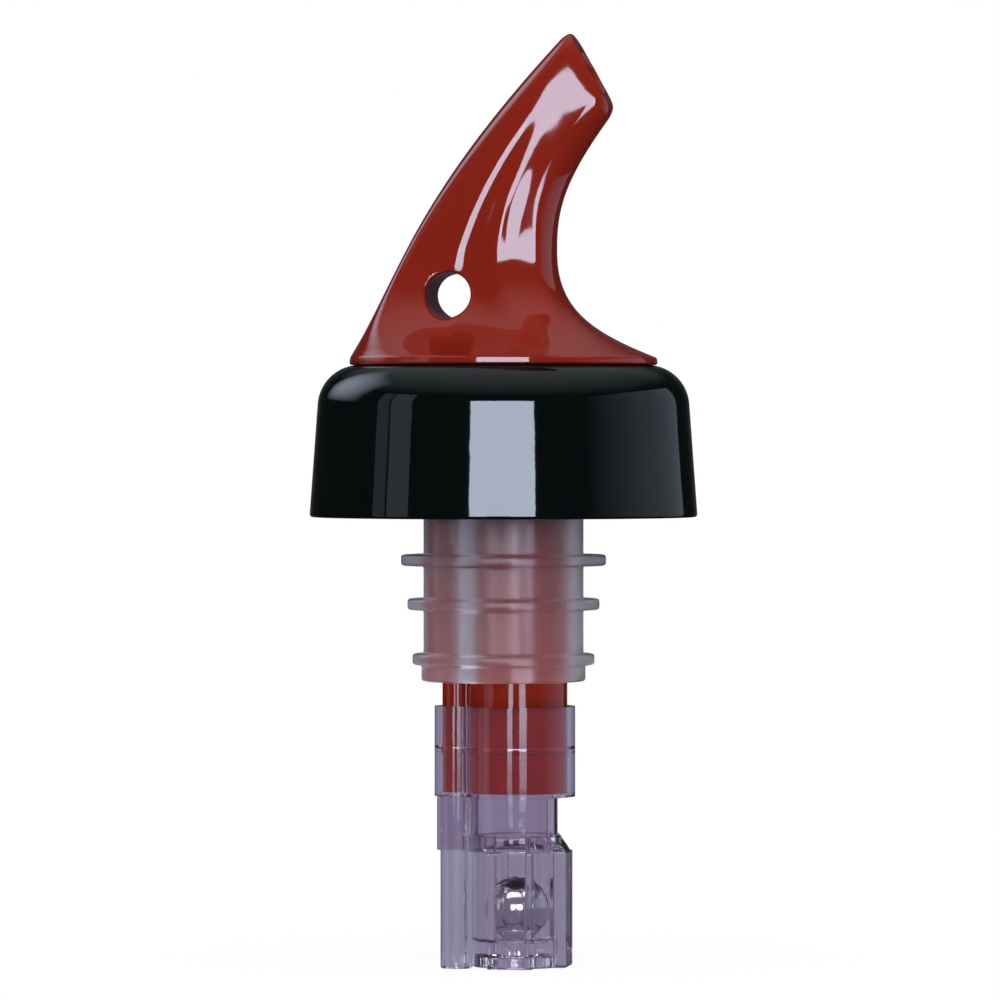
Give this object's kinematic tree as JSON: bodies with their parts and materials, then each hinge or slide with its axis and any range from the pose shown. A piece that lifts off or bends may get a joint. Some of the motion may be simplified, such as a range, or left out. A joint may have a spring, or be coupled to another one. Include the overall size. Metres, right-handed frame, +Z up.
{
  "type": "liquor pourer",
  "caption": "Ball-metered bottle pourer: curved spout, hooded collar, finned cork stopper and clear metering chamber with a steel ball that shuts off each portion.",
  "frame": {"origin": "bottle axis at the lip seat, the plane where the bottle's lip meets the underside of the cork's head", "axes": "+Z up along the bottle axis, +X the way the spout pours, +Y across the spout"},
  "size_m": [0.0388, 0.0388, 0.0934],
  "materials": {
    "red_plastic": "glossy moulded, deep red",
    "black_plastic": "glossy moulded, black",
    "cork_plastic": "soft satin, milky translucent",
    "clear_plastic": "clear moulded, faint lavender tint",
    "clear_tube": "clear moulded, faint blue-grey tint",
    "steel": "polished ball"
  },
  "bodies": {
    "pourer": {"spout": "red_plastic", "stem": "red_plastic", "collar": "black_plastic", "cork": "cork_plastic", "chamber": "clear_plastic", "metering_cup": "clear_plastic", "breather_tube": "clear_tube"},
    "ball": {"ball": "steel"}
  },
  "joints": [
    {"name": "ball_travel", "type": "slide", "parent": "pourer", "child": "ball", "axis": [0, 0, 1], "range_m": [0, 0.0108]}
  ]
}
